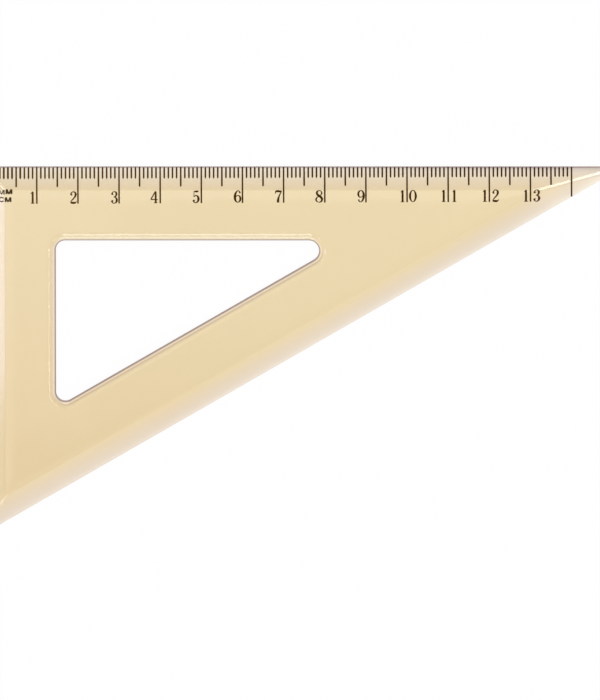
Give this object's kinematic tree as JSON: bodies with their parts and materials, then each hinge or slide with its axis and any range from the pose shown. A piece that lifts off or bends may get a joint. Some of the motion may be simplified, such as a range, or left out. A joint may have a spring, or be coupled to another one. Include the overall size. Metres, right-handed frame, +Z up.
{
  "type": "drafting triangle",
  "caption": "Flat clear amber drafting triangle with bevelled edges, a triangular cut-out and a centimetre scale of ink lines along its long leg.",
  "frame": {"origin": "on the underside, at the middle of the rectangle that the outline fills", "axes": "+X along the long leg towards the 30 degree tip, +Y towards the scale edge, +Z up out of the scale face"},
  "size_m": [0.155, 0.0898, 0.002],
  "materials": {
    "amber_plastic": "clear amber-tinted moulded plastic, glossy, with fine wear on the flats",
    "scale_ink": "dark brown opaque ink filled into shallow grooves"
  },
  "bodies": {
    "root": {"plate": "amber_plastic", "centimetre_line_00": "scale_ink", "centimetre_line_01": "scale_ink", "centimetre_line_02": "scale_ink", "centimetre_line_03": "scale_ink", "centimetre_line_04": "scale_ink", "centimetre_line_05": "scale_ink", "centimetre_line_06": "scale_ink", "centimetre_line_07": "scale_ink", "centimetre_line_08": "scale_ink", "centimetre_line_09": "scale_ink", "centimetre_line_10": "scale_ink", "centimetre_line_11": "scale_ink", "centimetre_line_12": "scale_ink", "centimetre_line_13": "scale_ink", "centimetre_line_14": "scale_ink", "half_centimetre_line_00": "scale_ink", "half_centimetre_line_01": "scale_ink", "half_centimetre_line_02": "scale_ink", "half_centimetre_line_03": "scale_ink", "half_centimetre_line_04": "scale_ink", "half_centimetre_line_05": "scale_ink", "half_centimetre_line_06": "scale_ink", "half_centimetre_line_07": "scale_ink", "half_centimetre_line_08": "scale_ink", "half_centimetre_line_09": "scale_ink", "half_centimetre_line_10": "scale_ink", "half_centimetre_line_11": "scale_ink", "half_centimetre_line_12": "scale_ink", "half_centimetre_line_13": "scale_ink"}
  },
  "joints": []
}
